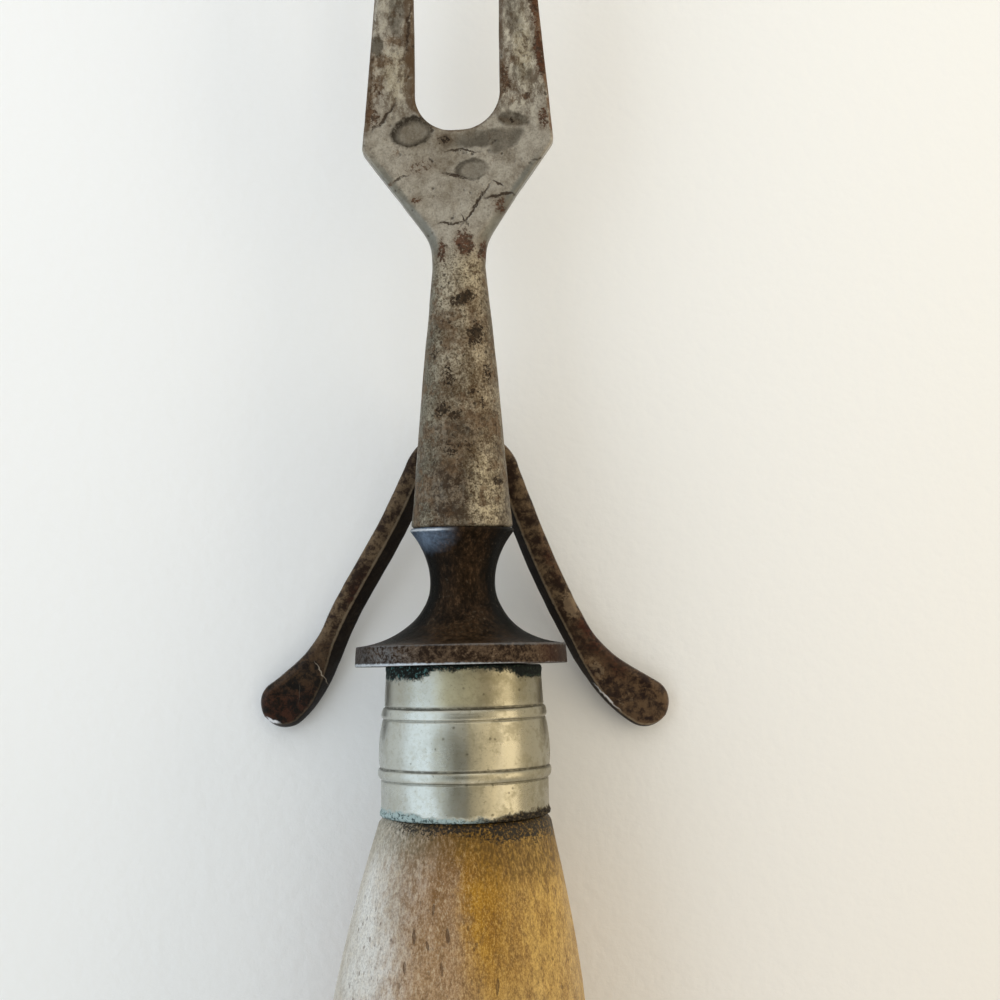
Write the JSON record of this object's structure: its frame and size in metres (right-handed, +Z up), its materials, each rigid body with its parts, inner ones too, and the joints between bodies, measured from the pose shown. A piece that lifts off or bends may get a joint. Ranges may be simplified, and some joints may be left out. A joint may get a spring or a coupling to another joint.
{
  "type": "carving fork",
  "caption": "Carving fork with long pointed tines, a flared shoulder, a round shank, a flanged bolster, a wishbone guard that swings out behind, a beaded metal ferrule and an antler handle.",
  "frame": {"origin": "middle of the fork's bounding box on the surface that it lies on", "axes": "+Y along the fork from the handle to the tines, +X to the right as seen from above, +Z up out of the front face"},
  "size_m": [0.0482, 0.2706, 0.0272],
  "materials": {
    "aged_steel": "dull bare carbon steel with rust blotches and pits",
    "dark_iron": "dark brown, smooth, worn bright on the edges",
    "brown_iron": "rust-brown forged iron, worn on the edges",
    "nickel_silver": "satin nickel silver with fine scratches and green tarnish at the ends",
    "antler": "semi-gloss antler, amber and brown with fine lengthwise pits",
    "pitch": "dull dark pitch"
  },
  "bodies": {
    "fork_body": {"fork": "aged_steel", "bolster": "dark_iron", "guard_pin": "aged_steel", "ferrule": "nickel_silver", "handle": "antler", "tang_cement": "pitch"},
    "guard_body": {"guard": "brown_iron"}
  },
  "joints": [
    {"name": "guard_fold", "type": "hinge", "parent": "fork_body", "child": "guard_body", "pos_m": [0, 0.01675, 0.0116], "axis": [1, 0, 0], "range_deg": [0, 79]}
  ]
}
